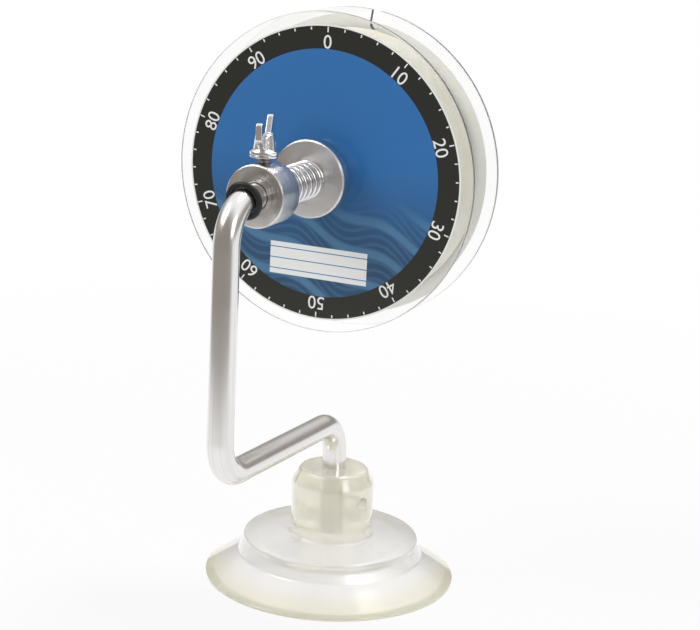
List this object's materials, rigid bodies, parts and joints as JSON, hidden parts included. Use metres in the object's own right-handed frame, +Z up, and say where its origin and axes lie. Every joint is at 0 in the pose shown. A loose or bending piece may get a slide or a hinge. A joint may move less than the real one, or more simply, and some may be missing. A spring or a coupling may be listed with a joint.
{
  "type": "fishing line winder",
  "caption": "Bench line winder: a bent bar in a clear suction cup carries a clear line spool between two centring cones, loaded by a spring behind a wing-screw collar.",
  "frame": {"origin": "centre of the suction cup's sealing rim, on the surface it stands on", "axes": "+Z up along the cup's axis, +Y along the axle to its free end, +X to the right of someone looking along +Y"},
  "size_m": [0.1016, 0.1276, 0.1912],
  "materials": {
    "clear_pvc": "soft clear moulding, smooth and wet-looking",
    "satin_aluminium": "drawn bar, satin along its length",
    "turned_aluminium": "turned faces, bright chamfers",
    "zinc_plate": "bright zinc plate",
    "dark_steel": "oiled thread",
    "spring_wire": "bright drawn wire",
    "black_rubber": "smooth matt rubber",
    "clear_styrene": "clear moulded plastic, polished",
    "printed_label": "coated paper, printed black ring and blue middle",
    "fishing_line": "translucent pale monofilament",
    "nylon": "natural nylon"
  },
  "bodies": {
    "base": {"suction_cup": "clear_pvc"},
    "arm": {"bent_rod": "satin_aluminium", "o_ring": "black_rubber", "tension_spring": "spring_wire"},
    "front_clamp": {"front_collar": "turned_aluminium"},
    "front_washer": {"front_washer": "zinc_plate"},
    "front_wing": {"front_wing_nut": "zinc_plate", "front_stud": "dark_steel"},
    "front_cone": {"front_cone": "turned_aluminium"},
    "rear_clamp": {"rear_collar": "turned_aluminium", "thrust_washer": "nylon"},
    "rear_washer": {"rear_washer": "zinc_plate"},
    "rear_wing": {"rear_wing_nut": "zinc_plate", "rear_stud": "dark_steel"},
    "spool": {"spool_front_half": "clear_styrene", "spool_rear_half": "clear_styrene", "front_label": "printed_label", "rear_label": "printed_label", "line_core": "fishing_line", "line_winding": "fishing_line", "rear_cone": "turned_aluminium"}
  },
  "joints": [
    {"name": "arm_swivel", "type": "hinge", "parent": "base", "child": "arm", "pos_m": [0, 0, 0.03], "axis": [0, 0, 1], "continuous": true},
    {"name": "front_collar_slide", "type": "slide", "parent": "arm", "child": "front_clamp", "axis": [0, 1, 0], "range_m": [-0.004, 0.01], "deforming": ["tension_spring"]},
    {"name": "front_washer_lift", "type": "slide", "parent": "front_clamp", "child": "front_washer", "axis": [0, 0, 1], "range_m": [0, 0.0042]},
    {"name": "front_wing_turn", "type": "hinge", "parent": "front_washer", "child": "front_wing", "pos_m": [0, -0.0597, 0.1524], "axis": [0, 0, 1], "range_deg": [0, 2160]},
    {"name": "front_cone_spin", "type": "hinge", "parent": "arm", "child": "front_cone", "pos_m": [0, -0.0272, 0.1404], "axis": [0, 1, 0], "continuous": true},
    {"name": "rear_collar_slide", "type": "slide", "parent": "arm", "child": "rear_clamp", "axis": [0, 1, 0], "range_m": [0, 0.05]},
    {"name": "rear_washer_lift", "type": "slide", "parent": "rear_clamp", "child": "rear_washer", "axis": [0, 0, 1], "range_m": [0, 0.0042]},
    {"name": "rear_wing_turn", "type": "hinge", "parent": "rear_washer", "child": "rear_wing", "pos_m": [0, 0.01983, 0.1524], "axis": [0, 0, 1], "range_deg": [0, 2160]},
    {"name": "spool_spin", "type": "hinge", "parent": "rear_clamp", "child": "spool", "pos_m": [0, -0.0084, 0.1404], "axis": [0, 1, 0], "continuous": true}
  ],
  "couplings": [
    {"joint": "front_washer_lift", "follows": "front_wing_turn", "m_per_rad": 0.0001114},
    {"joint": "rear_washer_lift", "follows": "rear_wing_turn", "m_per_rad": 0.0001114},
    {"joint": "front_cone_spin", "follows": "spool_spin", "ratio": 1}
  ]
}
